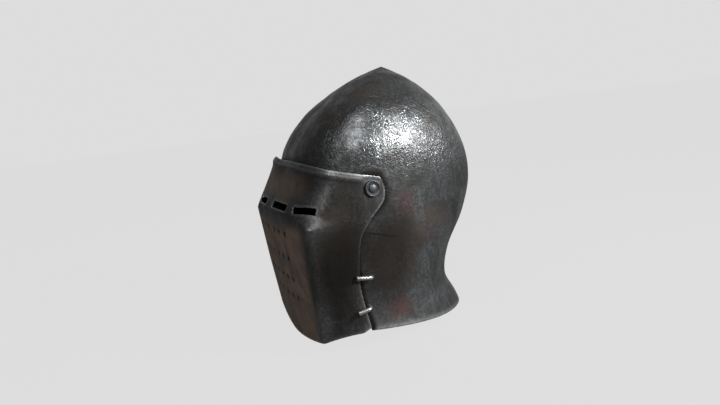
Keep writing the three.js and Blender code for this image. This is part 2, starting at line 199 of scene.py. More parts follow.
def smooth_between(before, start, end, after, share):
    """A smooth curve through four values in a row, read between the middle two."""
    from_slope, to_slope = (end - before) / 2, (after - start) / 2
    square, cube = share ** 2, share ** 3
    return (start + from_slope * (cube - 2 * square + share) + (end - start) * (3 * square - 2 * cube)
            + to_slope * (cube - square))


def skull_level(place):
    """The skull's half-widths and depths at a place between two rows of its table."""
    last = len(SKULL_LEVELS) - 1
    row = min(int(place), last - 1)
    near = [SKULL_LEVELS[min(max(i, 0), last)] for i in (row - 1, row, row + 1, row + 2)]
    return {key: smooth_between(*(level[key] for level in near), place - row) for key in SKULL_LEVELS[0]}


def solve(rising, target, low, high):
    """Where a rising quantity reaches a target."""
    for _ in range(40):
        middle = (low + high) / 2
        if rising(middle) < target:
            low = middle
        else:
            high = middle
    return low


def skull_point(turn, place):
    """A point of the left half, by its turn round from the middle of the brow."""
    level = skull_level(place)
    ahead, aside = math.cos(turn), math.sin(turn)
    power = 2 / (FRONT_POWER if ahead > 0 else BACK_POWER)
    reach = level["front"] + level["mid"] if ahead > 0 else level["back"] - level["mid"]
    return Vector((level["half"] * abs(aside) ** power,
                   level["mid"] - reach * math.copysign(abs(ahead) ** power, ahead), level["z"]))


def along_edge(edge, z):
    """How far back a cut edge lies at a height, from its (height, distance back) points."""
    heights = [height for height, _ in edge]
    row = 0
    while row < len(edge) - 2 and z < heights[row + 1]:
        row += 1
    last = len(edge) - 1
    near = [edge[min(max(i, 0), last)] for i in (row - 1, row, row + 1, row + 2)]
    share = (heights[row] - z) / (heights[row] - heights[row + 1])
    return smooth_between(*(y for _, y in near), min(max(share, 0), 1))


def face_turn(z, place):
    return solve(lambda turn: skull_point(turn, place).y, along_edge(FACE_EDGE, z), 0.05, math.pi / 2)


def place_of(z):
    return solve(lambda place: skull_level(place)["z"], z, 0, len(SKULL_LEVELS) - 1)


def skull_row(place):
    """One row of corners, from the brow or the face edge round to the back."""
    z = skull_level(place)["z"]
    brow_turn = face_turn(BROW_Z, place_of(BROW_Z))
    shift = face_turn(z, place) - brow_turn if z < BROW_Z else 0
    brow = [brow_turn * k / COLUMNS_BROW for k in range(COLUMNS_BROW)]
    shares = [k / COLUMNS_SIDE for k in range(COLUMNS_SIDE + 1)]
    side = [brow_turn + (math.pi - brow_turn) * share + shift * (1 - share) ** 3 for share in shares]
    return [skull_point(turn, place) for turn in (side if z < BROW_Z - 0.01 else brow + side)]


def grow(shape, edges, row):
    """Extrudes a line of edges and puts its new corners on the next row."""
    new = bmesh.ops.extrude_edge_only(shape, edges=edges)["geom"]
    verts = [part for part in new if isinstance(part, bmesh.types.BMVert)]
    lines = [part for part in new if isinstance(part, bmesh.types.BMEdge)
             and part.verts[0] in verts and part.verts[1] in verts]
    chain = chain_of(lines)
    for vert, point in zip(chain, row):
        vert.co = point
    return chain, sorted(lines, key=lambda line: min(chain.index(v) for v in line.verts))


def chain_of(lines):
    """The corners of joined edges in order, from the foremost end."""
    ends = {}
    for line in lines:
        for vert in line.verts:
            ends.setdefault(vert, []).append(line)
    first = min((v for v in ends if len(ends[v]) == 1), key=lambda v: v.co.y)
    chain, line = [first], ends[first][0]
    while line:
        vert = line.other_vert(chain[-1])
        chain.append(vert)
        line = next((other for other in ends[vert] if other is not line), None)
    return chain


def start_row(shape, row):
    verts = [shape.verts.new(point) for point in row]
    return verts, [shape.edges.new(pair) for pair in zip(verts, verts[1:])]


def finish_mesh(name, shape, body, node):
    """Stands a finished shape on the floor and hands it over as one piece."""
    bmesh.ops.transform(shape, matrix=standing, verts=shape.verts)
    mesh = bpy.data.meshes.new(name)
    shape.to_mesh(mesh)
    shape.free()
    for face in mesh.polygons:
        face.use_smooth = True
    piece = bpy.data.objects.new(name, mesh)
    bpy.context.scene.collection.objects.link(piece)
    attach(piece, body)
    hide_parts(node)
    return piece


def add_modifier(piece, kind, **settings):
    modifier = piece.modifiers.new(kind.title(), kind)
    for name, value in settings.items():
        setattr(modifier, name, value)


def mask(shape, name, value_at):
    """Stores a share from 0 to 1 at each corner, for the finish to read."""
    layer = shape.verts.layers.float.new(name)
    for vert in shape.verts:
        vert[layer] = min(max(value_at(vert.co), 0), 1)


def ramp(value, start, end):
    share = min(max((value - start) / (end - start), 0), 1)
    return share * share * (3 - 2 * share)


def fade(value, least, start, full):
    """Rises from a least share to the whole."""
    return least + (1 - least) * ramp(value, start, full)


def spot(point, centre, reach):
    """A soft round patch: 1 about its centre, 0 at its reach."""
    offset = Vector((point[i] - centre[i]) / reach[i] for i in range(3))
    return 1 - ramp(offset.length, 0.25, 1.0)


brow_place, apex_place, rim_place = place_of(BROW_Z), len(SKULL_LEVELS) - 1, place_of(RIM_Z)
shape = bmesh.new()
chain, brow_edges = start_row(shape, skull_row(brow_place))
edges = brow_edges
for step in range(1, ROWS_OVER_BROW + 1):
    share = step / ROWS_OVER_BROW
    chain, edges = grow(shape, edges, skull_row(brow_place + (apex_place - brow_place) * share))
bmesh.ops.pointmerge(shape, verts=chain, merge_co=chain[0].co)
edges = brow_edges[COLUMNS_BROW:]
for step in range(1, ROWS_UNDER_BROW + 1):
    share = step / ROWS_UNDER_BROW
    row = skull_row(brow_place + (rim_place - brow_place) * share)
    chain, edges = grow(shape, edges, row)
floor_slope = FLOOR_LINE["rise"] / FLOOR_LINE["run"]
for vert in chain:
    vert.co.z = max(RIM_Z, RIM_Z + (vert.co.y - TAIL_FLAT_Y) * floor_slope)
bmesh.ops.mirror(shape, geom=shape.verts[:] + shape.edges[:] + shape.faces[:], axis="X", merge_dist=0.01)
bmesh.ops.remove_doubles(shape, verts=shape.verts, dist=0.01)
bmesh.ops.recalc_face_normals(shape, faces=shape.faces)

# Hammer marks: shallow dishes over the crown, fainter over the sides, none at the edges.
DISHES = [{"size": 17, "depth": 0.34}, {"size": 8.5, "depth": 0.20}]
DISH_FADE = {"least": 0.25, "start": -40, "full": 60}
DISH_LIMIT = 0.2
TAIL_FROM_Y = 80
shape.normal_update()
free_edge = {vert for edge in shape.edges if edge.is_boundary for vert in edge.verts}
for vert in shape.verts:
    low = ramp(-vert.co.z, -TAIL_BEND_Z, -RIM_Z)
    vert.co.z += TAIL_LIFT * low * ramp(vert.co.y, TAIL_FROM_Y, TAIL_FLAT_Y)
for vert in shape.verts:
    strength = fade(vert.co.z, **DISH_FADE)
    dish = sum(row["depth"] * noise.noise(vert.co / row["size"]) for row in DISHES)
    if vert not in free_edge:
        vert.co += vert.normal * min(dish * strength, DISH_LIMIT)

# Finish: stains, one rubbed patch on the left crown, a dull tip and a long scratch behind the visor.
STAINS = [
    {"at": (91, 73, -40), "reach": (40, 44, 30), "rust": 0.5, "red": 0},
    {"at": (95, 30, -70), "reach": (40, 40, 50), "rust": 0.5, "red": 0},
    {"at": (97, 38, -16), "reach": (20, 17, 19), "rust": 0.15, "red": 0.8},
    {"at": (97, 33, -120), "reach": (20, 20, 20), "rust": 0.2, "red": 0.8},
    {"at": (48, -22, 71), "reach": (34, 30, 34), "rust": 0.25, "red": 0},
    {"at": (60, 10, 95), "reach": (34, 34, 26), "rust": 0.4, "red": 0},
    {"at": (-95, 60, -40), "reach": (30, 34, 38), "rust": 0.7, "red": 0.2},
    {"at": (-90, 20, 30), "reach": (34, 30, 24), "rust": 0.35, "red": 0},
    {"at": (10, 150, -10), "reach": (44, 30, 34), "rust": 0.5, "red": 0.2},
]
POLISH = {"centre": (88, 20, 58), "reach": (74, 100, 58)}
TIP = {"centre": (0, 58.8, 131), "reach": (34, 40, 26)}
SCRATCH = {"height": -44, "fall": 0.185, "field": 40}
HAMMERED = {"least": 0.15, "start": -15, "full": 45}
RIM_WEAR = {"share": 0.7, "from": 134, "full": 141}
MATT = {"skull": 0.15, "tip": 0.3}


def stain(kind):
    return lambda p: max(row[kind] * spot(p, row["at"], row["reach"]) for row in STAINS)


def beside_scratch(p):
    """A half on the scratch, rising above it and falling below."""
    return 0.5 + (p.z - SCRATCH["height"] + SCRATCH["fall"] * p.y) / SCRATCH["field"]


def along_scratch(p):
    return (p.x > 0) * ramp(p.y, -4, 3) * (1 - ramp(p.y, 24, 34))


mask(shape, "rust", stain("rust"))
mask(shape, "red", stain("red"))
mask(shape, "hammer", lambda p: fade(p.z, **HAMMERED))
mask(shape, "wear_and_highlight", lambda p: RIM_WEAR["share"] * ramp(-p.z, RIM_WEAR["from"], RIM_WEAR["full"]))
mask(shape, "matt", lambda p: MATT["skull"] * (1 - spot(p, **POLISH)) + MATT["tip"] * spot(p, **TIP))
mask(shape, "scratch side", beside_scratch)
mask(shape, "scratch", along_scratch)

skull = finish_mesh("skull_shell", shape, "helmet", "skull")
add_modifier(skull, "SOLIDIFY", thickness=SKULL_PLATE / 1000, offset=-1)
add_modifier(skull, "BEVEL", width=0.0005, segments=2, limit_method="ANGLE", angle_limit=math.radians(50))


def noise_node(tree, vector, scale, detail=2.0, roughness=0.5, distortion=0.0):
    node = add_node(tree, "ShaderNodeTexNoise")
    socket(node, "Scale", scale)
    socket(node, "Detail", detail)
    socket(node, "Roughness", roughness)
    socket(node, "Distortion", distortion)
    tree.links.new(vector, node.inputs["Vector"])
    return node.outputs["Fac"]


def map_node(tree, value, low, high, to_low=0.0, to_high=1.0):
    node = add_node(tree, "ShaderNodeMapRange", interpolation_type="SMOOTHSTEP")
    for name, number in (("From Min", low), ("From Max", high), ("To Min", to_low), ("To Max", to_high)):
        socket(node, name, number)
    tree.links.new(value, node.inputs["Value"])
    return node.outputs["Result"]


def math_node(tree, operation, first, second):
    node = add_node(tree, "ShaderNodeMath", operation=operation)
    for index, value in enumerate((first, second)):
        if isinstance(value, (int, float)):
            node.inputs[index].default_value = value
        else:
            tree.links.new(value, node.inputs[index])
    return node.outputs[0]


def mix_node(tree, share, first, second):
    node = add_node(tree, "ShaderNodeMix", data_type="RGBA")
    tree.links.new(share, node.inputs[0])
    for index, value in ((6, first), (7, second)):
        if isinstance(value, tuple):
            node.inputs[index].default_value = (*value, 1)
        else:
            tree.links.new(value, node.inputs[index])
    return node.outputs[2]


def mask_node(tree, name):
    return add_node(tree, "ShaderNodeAttribute", attribute_name=name).outputs["Fac"]


# Aged steel: cloudy patches of blacking, fine soot in the pores, and a crumpled, beaten skin.
# Near-black for painted shade and dark patches, and for the scratch line.
SHADE_AND_SCRATCH_BLACK = (0.019, 0.016, 0.013)
GRAIN = {
    "clouds": {"scale": 42, "detail": 6, "roughness": 0.62, "distortion": 0.4},
    "soot": {"scale": 330, "detail": 9, "roughness": 0.78},
    "streaks": {"scale": 300, "detail": 5, "roughness": 0.6},
    "creases": {"scale": 250, "detail": 3, "roughness": 0.5, "distortion": 1.4},
    "pits": {"scale": 700, "detail": 3, "roughness": 0.6, "distortion": 0.6},
}
DRAWN_DOWN = (1.0, 1.0, 0.16)
PIT_SHARE = 0.3
AGEING = {"soot": 0.72, "streaks": 0.35, "rust dulls": 0.16, "wear shines": 0.08, "metal": 0.95}
aged = bpy.data.node_groups.new("aged steel", "ShaderNodeTree")
for name in ("Clouds", "Soot", "Streaks", "Crumple"):
    aged.interface.new_socket(name=name, in_out="OUTPUT", socket_type="NodeSocketFloat")
outside = add_node(aged, "NodeGroupOutput")
place = add_node(aged, "ShaderNodeTexCoord").outputs["Object"]
clouds = map_node(aged, noise_node(aged, place, **GRAIN["clouds"]), 0.34, 0.68)
soot = map_node(aged, noise_node(aged, place, **GRAIN["soot"]), 0.41, 0.59)
drawn = add_node(aged, "ShaderNodeMapping")
drawn.inputs["Scale"].default_value = DRAWN_DOWN
aged.links.new(place, drawn.inputs["Vector"])
streaks = map_node(aged, noise_node(aged, drawn.outputs["Vector"], **GRAIN["streaks"]), 0.40, 0.62)
creases = noise_node(aged, place, **GRAIN["creases"])
pits = noise_node(aged, place, **GRAIN["pits"])
crumple = math_node(aged, "ADD", creases, math_node(aged, "MULTIPLY", pits, PIT_SHARE))
for name, value in (("Clouds", clouds), ("Soot", soot), ("Streaks", streaks), ("Crumple", crumple)):
    aged.links.new(value, outside.inputs[name])


def steel(name, dark, light, rust, bright, rough, bump, hammer_mask=None, red=None):
    """Steel between two tones: stained, lightened by wear and painted highlight, and darkened by painted
    shade and dark patches, where the piece's masks say.
    """
    material = bpy.data.materials.new(name)
    material.use_nodes = True
    tree = material.node_tree
    bsdf = tree.nodes["Principled BSDF"]
    skin = add_node(tree, "ShaderNodeGroup", node_tree=aged)
    clouds, soot, streaks, crumple = (skin.outputs[key] for key in ("Clouds", "Soot", "Streaks", "Crumple"))
    tone = mix_node(tree, clouds, dark, light)
    tone = mix_node(tree, math_node(tree, "MULTIPLY", soot, AGEING["soot"]), tone, dark)
    tone = mix_node(tree, math_node(tree, "MULTIPLY", streaks, AGEING["streaks"]), tone, dark)
    rusted = math_node(tree, "MULTIPLY", mask_node(tree, "rust"), map_node(tree, clouds, 0.0, 0.9, 1.0, 0.55))
    tone = mix_node(tree, rusted, tone, rust)
    if red:
        blotched = map_node(tree, soot, 0.0, 1.0, 0.4, 0.9)
        tone = mix_node(tree, math_node(tree, "MULTIPLY", mask_node(tree, "red"), blotched), tone, red)
    # Lightened towards the bright tone where the mask says: wear, and a painted highlight on some edges and
    # rims.
    wear_and_highlight = math_node(tree, "MULTIPLY", mask_node(tree, "wear_and_highlight"), map_node(tree, soot, 0.0, 1.0, 1.0, 0.55))
    tone = mix_node(tree, wear_and_highlight, tone, bright)
    # Darkened towards near-black where the mask says: painted shade along gaps and round holes, and dark
    # patches.
    tone = mix_node(tree, mask_node(tree, "shade_and_dark_patches"), tone, SHADE_AND_SCRATCH_BLACK)
    aside = math_node(tree, "SUBTRACT", mask_node(tree, "scratch side"), 0.5)
    cut = map_node(tree, math_node(tree, "ABSOLUTE", aside, 0), 0.008, 0.028, 0.85, 0.0)
    tone = mix_node(tree, math_node(tree, "MULTIPLY", cut, mask_node(tree, "scratch")), tone, SHADE_AND_SCRATCH_BLACK)
    tree.links.new(tone, bsdf.inputs["Base Color"])
    socket(bsdf, "Metallic", AGEING["metal"])
    dulled = math_node(tree, "ADD", map_node(tree, clouds, 0, 1, rough[1], rough[0]),
                       math_node(tree, "MULTIPLY", rusted, AGEING["rust dulls"]))
    shine = math_node(tree, "MULTIPLY", wear_and_highlight, AGEING["wear shines"])
    dulled = math_node(tree, "SUBTRACT", dulled, shine)
    dulled = math_node(tree, "ADD", dulled, mask_node(tree, "matt"))
    tree.links.new(dulled, bsdf.inputs["Roughness"])
    height = crumple
    if hammer_mask:
        height = math_node(tree, "MULTIPLY", crumple, mask_node(tree, hammer_mask))
    relief = add_node(tree, "ShaderNodeBump")
    socket(relief, "Strength", bump["strength"])
    socket(relief, "Distance", bump["distance"])
    tree.links.new(height, relief.inputs["Height"])
    tree.links.new(relief.outputs["Normal"], bsdf.inputs["Normal"])
    return material


skull.data.materials.append(steel(
    "blackened skull steel", dark=(0.060, 0.060, 0.059), light=(0.226, 0.240, 0.252),
    rust=(0.15, 0.11, 0.085), red=(0.15, 0.075, 0.075), bright=(0.5, 0.5, 0.5), rough=(0.25, 0.37),
    bump={"strength": 1.0, "distance": 0.0007}, hammer_mask="hammer"))

# Visor: one sheet of 1.6 mm steel folded to a nearly flat front, creased under the sights and bent back
# along the cheeks to two ears. Sights and breaths are pierced through it; its edges are lightened, as wear
# and as a painted highlight.
VISOR_PLATE = 1.6
VISOR_LINES = [
    {"name": "brow", "centre": (-57.5, 25.2), "corner": (80, -56.5, 21.5), "cheek": (101, -44),
     "side": (101, -4, 12.5), "ear": (22, 9), "soften": 0.8, "wrap": 0.45},
    {"name": "under sights", "centre": (-76.4, -26), "corner": (98, -68, -27.5), "cheek": (103, -42),
     "side": (101, -4, -33), "ear": (22, -34), "soften": 0.5, "wrap": 0.45},
    {"name": "crease", "centre": (-75.8, -34.5), "corner": (101, -65.5, -36), "cheek": (102.5, -40),
     "side": (99, -10, -45), "ear": (14, -46), "soften": 0.05, "wrap": 0.06},
    {"name": "breaths", "centre": (-62.8, -97), "corner": (90, -54, -97), "cheek": (97, -36),
     "side": (95.5, -16, -93), "ear": (10, -90), "soften": 0.05, "wrap": 0.06},
    {"name": "chin", "centre": (-45.5, -167), "corner": (80.5, -41.7, -154.6), "cheek": (94, -24),
     "side": (102, -8, -141), "ear": (6, -133), "soften": 0.04, "wrap": 0.05, "lift": 3.5, "sag": 1.6},
]
LEG_STEPS = {"front": 5, "bend": 4, "side": 6, "ear": 2}
REAR_EDGE = [
    (10.5, 8.8), (0, 13.4), (-8.8, 13.9), (-14.5, 11.1), (-32.9, -2.6), (-49.7, -9.9), (-79.6, -10.9),
    (-106.5, -7.2), (-136.5, -0.2), (-152, 4),
]
SLOT_TOP, SLOT_FOOT = -16.9, -23.3
BREATH_RADIUS = 1.6
BREATH_HEIGHTS = (-47.4, -74, -96.5, -118)
BORE_RADIUS = 3.1
ROWS = [
    {"to": 25.2, "steps": 1}, {"to": 14, "steps": 8}, {"to": SLOT_TOP, "steps": 8},
    {"to": SLOT_FOOT, "steps": 2}, {"to": -26, "steps": 1}, {"to": -34.5, "steps": 3},
    {"to": -47.4, "steps": 3}, {"to": -74, "steps": 6}, {"to": -96.5, "steps": 5},
    {"to": -118, "steps": 5}, {"to": -164.4, "steps": 11}, {"to": -166.6, "steps": 2},
]
# Where the columns of the sheet run, in millimetres round it from the middle: sights above, breaths below.
COLUMNS = [
    {"z": 25.2, "one": 11, "two": 28, "three": 45, "four": 60, "five": 86},
    {"z": SLOT_TOP, "one": 13, "two": 33.75, "three": 54.5, "four": 67, "five": 98},
    {"z": SLOT_FOOT, "one": 13, "two": 33.75, "three": 54.5, "four": 70, "five": 99.5},
    {"z": -34.5, "one": 13, "two": 32, "three": 51, "four": 70, "five": 101.6},
    {"z": -47.4, "one": 12.5, "two": 29.5, "three": 46.5, "four": 66, "five": 98.9},
    {"z": -74, "one": 10, "two": 26, "three": 42, "four": 62, "five": 94.2},
    {"z": -96.5, "one": 10, "two": 25.6, "three": 41.2, "four": 60, "five": 90.4},
    {"z": -118, "one": 10.5, "two": 26, "three": 41.5, "four": 58, "five": 87.0},
    {"z": -167, "one": 11, "two": 25, "three": 39, "four": 53, "five": 80.0},
]
COLUMN_STEPS = (3, 5, 5, 5, 8, 19, 2)
REAR_HEM = 2.4
SAMPLES = 400
# The brow edge is rolled: how far it swells outwards, by the distance down from the edge.
LIP = [(0, 0), (1.5, 0.7), (3.5, 1.3), (5.5, 1.6), (7, 1.0), (10, 0.25), (14, 0)]
WASHER_CLEAR = {"from": 9, "to": 16}
# Knocks that the sheet has taken: the right brow corner is pushed up and in, the outer sights a little up.
BENDS = [
    {"at": (-80, -54, 25), "reach": (78, 44, 56), "move": (11, 0, 6)},
    {"at": (-98, -62, -20), "reach": (34, 34, 18), "move": (0, 0, 3.6)},
    {"at": (98, -62, -20), "reach": (30, 34, 16), "move": (0, 0, 2.4)},
]


def bend_between(start, pull, end, share):
    return start * (1 - share) ** 2 + pull * 2 * share * (1 - share) + end * share ** 2


def line_point(line, across):
    """A point of one line of the visor, by its share of the way from the middle round to the ear."""
    centre, corner = Vector((0, *line["centre"])), Vector(line["corner"])
    side_end = Vector(line["side"])
    cheek = Vector((*line["cheek"], (corner.z + side_end.z) / 2 + line.get("lift", 0)))
    ear = Vector((side_end.x, *line["ear"]))

    def front(share):
        point = centre.lerp(corner, share ** 2)
        point.x = corner.x * share
        point.z = centre.z + (corner.z - centre.z) * share ** line.get("sag", 2)
        return point

    step = across * sum(LEG_STEPS.values())
    flat, wrap = 1 - line["soften"], line["wrap"]
    if step <= LEG_STEPS["front"]:
        return front(flat * step / LEG_STEPS["front"])
    step -= LEG_STEPS["front"]
    if step <= LEG_STEPS["bend"]:
        wrapped = bend_between(corner, cheek, side_end, wrap)
        return bend_between(front(flat), corner, wrapped, step / LEG_STEPS["bend"])
    step -= LEG_STEPS["bend"]
    if step <= LEG_STEPS["side"]:
        return bend_between(corner, cheek, side_end, wrap + (1 - wrap) * step / LEG_STEPS["side"])
    return side_end.lerp(ear, (step - LEG_STEPS["side"]) / LEG_STEPS["ear"])


def between(rows, z, height):
    """The two rows that a height lies between, and its share of the way down."""
    upper = max((i for i in range(len(rows) - 1) if height(rows[i]) >= z), default=0)
    top, foot = height(rows[upper]), height(rows[upper + 1])
    return rows[upper], rows[upper + 1], (top - z) / (top - foot)


def visor_row(z):
    """One row of corners, from the middle round to the rear edge, spaced by the table of columns."""
    upper, lower, share = between(VISOR_LINES, z, lambda line: line["centre"][1])
    trail, travelled = [], [0]
    for i in range(SAMPLES + 1):
        point = line_point(upper, i / SAMPLES).lerp(line_point(lower, i / SAMPLES), share)
        if i > SAMPLES / 2 and point.y > along_edge(REAR_EDGE, point.z):
            break
        if trail:
            travelled.append(travelled[-1] + (point - trail[-1]).length)
        trail.append(point)
    above, below, share = between(COLUMNS, z, lambda row: row["z"])
    knots = [0] + [above[key] + (below[key] - above[key]) * share for key in list(above)[1:]]
    knots += [travelled[-1] - REAR_HEM, travelled[-1]]
    row = []
    for start, end, steps in zip(knots, knots[1:], COLUMN_STEPS):
        row += [start + (end - start) * k / steps for k in range(steps)]
    points = []
    index = 0
    for distance in row:
        while travelled[index + 1] < distance:
            index += 1
        part = (distance - travelled[index]) / (travelled[index + 1] - travelled[index])
        points.append(trail[index].lerp(trail[index + 1], part))
    return points + [trail[-1]]


def pierce(shape, centre, radius):
    """Opens a round hole at a corner of the sheet: the corner is bevelled away and its rim made a circle."""
    vert = min(shape.verts, key=lambda corner: (corner.co - centre).length)
    facing = vert.normal.copy()
    made = bmesh.ops.bevel(shape, geom=[vert], offset=radius, offset_type="OFFSET", segments=1, profile=0.5,
                           affect="VERTICES", material=-1)
    lid = min(made["faces"], key=lambda face: (face.calc_center_median() - centre).length)
    bmesh.ops.subdivide_edges(shape, edges=lid.edges[:], cuts=1)
    lid = min((face for face in shape.faces if len(face.verts) == 8),
              key=lambda face: (face.calc_center_median() - centre).length)
    rim = lid.verts[:]
    bmesh.ops.delete(shape, geom=[lid], context="FACES_ONLY")
    for corner in rim:
        away = corner.co - centre
        corner.co = centre + (away - facing * away.dot(facing)).normalized() * radius


heights = [ROWS[0]["to"]]
for last, row in zip(ROWS, ROWS[1:]):
    heights += [last["to"] + (row["to"] - last["to"]) * k / row["steps"] for k in range(1, row["steps"] + 1)]
shape = bmesh.new()
verts, edges = start_row(shape, visor_row(heights[0]))
grid = {heights[0]: verts}
for z in heights[1:]:
    grid[z], edges = grow(shape, edges, visor_row(z))
knot_at = [sum(COLUMN_STEPS[:k]) for k in range(len(COLUMN_STEPS))]
slot_rows = [grid[z] for z in heights if SLOT_FOOT - 0.01 < z < SLOT_TOP + 0.01]
for first, last in ((knot_at[1], knot_at[3]), (knot_at[4], knot_at[5])):
    inside = {vert for row in slot_rows for vert in row[first:last + 1]}
    bmesh.ops.delete(shape, geom=[face for face in shape.faces if set(face.verts) <= inside], context="FACES")
bmesh.ops.recalc_face_normals(shape, faces=shape.faces)
shape.normal_update()
for column, edge_vert in enumerate(grid[heights[0]]):
    for z in heights[1:]:
        vert = grid[z][column]
        down = (vert.co - edge_vert.co).length
        if down >= LIP[-1][0]:
            break
        (start, low), (end, high) = next(pair for pair in zip(LIP, LIP[1:]) if pair[1][0] > down)
        swell = low + (high - low) * (down - start) / (end - start)
        clear = ramp(math.hypot(*vert.co.yz), WASHER_CLEAR["from"], WASHER_CLEAR["to"])
        vert.co += vert.normal * swell * clear


def edge_distance(points):
    """Measures how far a point, on either side of the helmet, lies from the nearest of some others."""
    tree = kdtree.KDTree(len(points))
    for index, point in enumerate(points):
        tree.insert(point, index)
    tree.balance()
    return lambda point: tree.find((abs(point[0]), point[1], point[2]))[2]


from_edge = edge_distance([vert.co.copy() for edge in shape.edges if edge.is_boundary for vert in edge.verts
                           if edge.verts[0].co.x + edge.verts[1].co.x > 0.1])
brow_points = [vert.co.copy() for vert in grid[heights[0]]]
rear_points = [grid[z][-1].co.copy() for z in heights]
from_brow = edge_distance(brow_points)
breaths = [visor_row(z)[knot_at[k]] for z in BREATH_HEIGHTS for k in (1, 2, 3)]
from_breath = edge_distance(breaths)
for centre in breaths:
    pierce(shape, centre, BREATH_RADIUS)
bore = [face for face in shape.faces
        if face.calc_center_median().x > 90 and math.hypot(*face.calc_center_median().yz) < 3.0]
rim = {vert for face in bore for vert in face.verts}
bmesh.ops.delete(shape, geom=bore, context="FACES")
for vert in rim:
    if vert.is_valid:
        vert.co.yz = vert.co.yz.normalized() * BORE_RADIUS
bmesh.ops.mirror(shape, geom=shape.verts[:] + shape.edges[:] + shape.faces[:], axis="X", merge_dist=0.01)
bmesh.ops.remove_doubles(shape, verts=shape.verts, dist=0.01)
bmesh.ops.recalc_face_normals(shape, faces=shape.faces)
if max(shape.faces, key=lambda face: face.calc_area()).normal.dot(Vector((0, -1, 0))) < -0.2:
    bmesh.ops.reverse_faces(shape, faces=shape.faces)


# Finish: a browned front and brow, darker cheeks, painted shade round the breath holes, bright wear along the
# fold and corners, wear and a painted highlight along the edges, and a painted highlight along the rolled
# brow.
FRONT = {"half": 101, "top": -34.5, "taper": 1 / 6}
BROW_RUST = {"share": 0.55, "out": 35, "y": -66, "z": -2, "reach": (60, 30, 24)}
CHEEK_RUST = [
    {"centre": (99, -35, -40), "reach": (16, 26, 40), "share": 0.12},
    {"centre": (-99, -30, -70), "reach": (16, 26, 50), "share": 0.3},
]
# Darker patches on the cheeks, the temples and the fold's ends.
DARK_PATCHES = [
    {"where": "cheek", "centre": (100, -32, -74), "reach": (36, 48, 92), "share": 0.93},
    {"where": "temple", "centre": (101, -28, -20), "reach": (26, 42, 42), "share": 0.78},
    {"where": "fold's end", "centre": (101, -66, -35), "reach": (22, 22, 14), "share": 0.2},
]
# Lightening: the fold and corners are wear, the edges are wear and a painted highlight, the lip is a painted
# highlight.
WEAR_AND_HIGHLIGHT = {"fold": 0.12, "corner": 0.2, "edge": 0.6, "lip_highlight": 0.7}
LIP_HIGHLIGHT_CREST = 5.5


def front_half(z):
    """Half the width of the flat front at a height, from the fold down to the chin."""
    return FRONT["half"] - (FRONT["top"] - z) * FRONT["taper"]


def front_face(p):
    """How far a point lies on the flat front under the fold: 1 in the middle, 0 round the corners."""
    return (1 - ramp(abs(p.x) / front_half(p.z), 0.80, 0.97)) * ramp(-p.y, 20, 40) * ramp(-p.z, 32, 44)


def visor_rust(p):
    brows = [(side * BROW_RUST["out"], BROW_RUST["y"], BROW_RUST["z"]) for side in (1, -1)]
    brow = sum(spot(p, centre, BROW_RUST["reach"]) for centre in brows)
    cheek = sum(row["share"] * spot(p, row["centre"], row["reach"]) for row in CHEEK_RUST)
    return max(front_face(p), BROW_RUST["share"] * brow, cheek)


def visor_shade_and_dark_patches(p):
    left = (abs(p.x), p.y, p.z)
    patch = max(row["share"] * spot(left, row["centre"], row["reach"]) for row in DARK_PATCHES)
    # Painted shade: a near-black ring round each breath hole.
    hole = 1 - ramp(from_breath(p), BREATH_RADIUS, BREATH_RADIUS + 1.0)
    return max(patch, hole)


def visor_wear_and_highlight(p):
    fold = (1 - ramp(abs(p.z + 34), 1.5, 7)) * ramp(-p.y, 30, 50)
    corner = (1 - ramp(abs(abs(p.x) - front_half(p.z)), 2, 7)) * ramp(-p.z, 30, 36) * ramp(-p.y, 25, 40)
    # Edges: lightened as wear and as a painted highlight.
    edge = 1 - ramp(from_edge(p), 0.3, 2.6)
    # Painted highlight along the rolled brow's crest, brighter towards the ear.
    lip_highlight = (1 - ramp(abs(from_brow(p) - LIP_HIGHLIGHT_CREST), 0.5, 2.5)) * (0.5 + 0.15 * ramp(p.y, -50, 0))
    return max(WEAR_AND_HIGHLIGHT["fold"] * fold, WEAR_AND_HIGHLIGHT["corner"] * corner, WEAR_AND_HIGHLIGHT["edge"] * edge, WEAR_AND_HIGHLIGHT["lip_highlight"] * lip_highlight)


mask(shape, "rust", visor_rust)
mask(shape, "wear_and_highlight", visor_wear_and_highlight)
mask(shape, "shade_and_dark_patches", visor_shade_and_dark_patches)
for vert in shape.verts:
    moves = [Vector(bend["move"]) * spot(vert.co, bend["at"], bend["reach"]) for bend in BENDS]
    vert.co += sum(moves, Vector())
visor = finish_mesh("visor_sheet", shape, "visor", "visor")
add_modifier(visor, "SOLIDIFY", thickness=VISOR_PLATE / 1000, offset=-1)
add_modifier(visor, "BEVEL", width=0.0004, segments=2, limit_method="ANGLE", angle_limit=math.radians(50))
add_modifier(visor, "SUBSURF", levels=1, render_levels=1)
visor.data.materials.append(steel(
    "browned visor steel", dark=(0.048, 0.046, 0.044), light=(0.18, 0.186, 0.195), rust=(0.265, 0.197, 0.152),
    bright=(0.36, 0.37, 0.38), rough=(0.42, 0.56), bump={"strength": 0.6, "distance": 0.0003}))

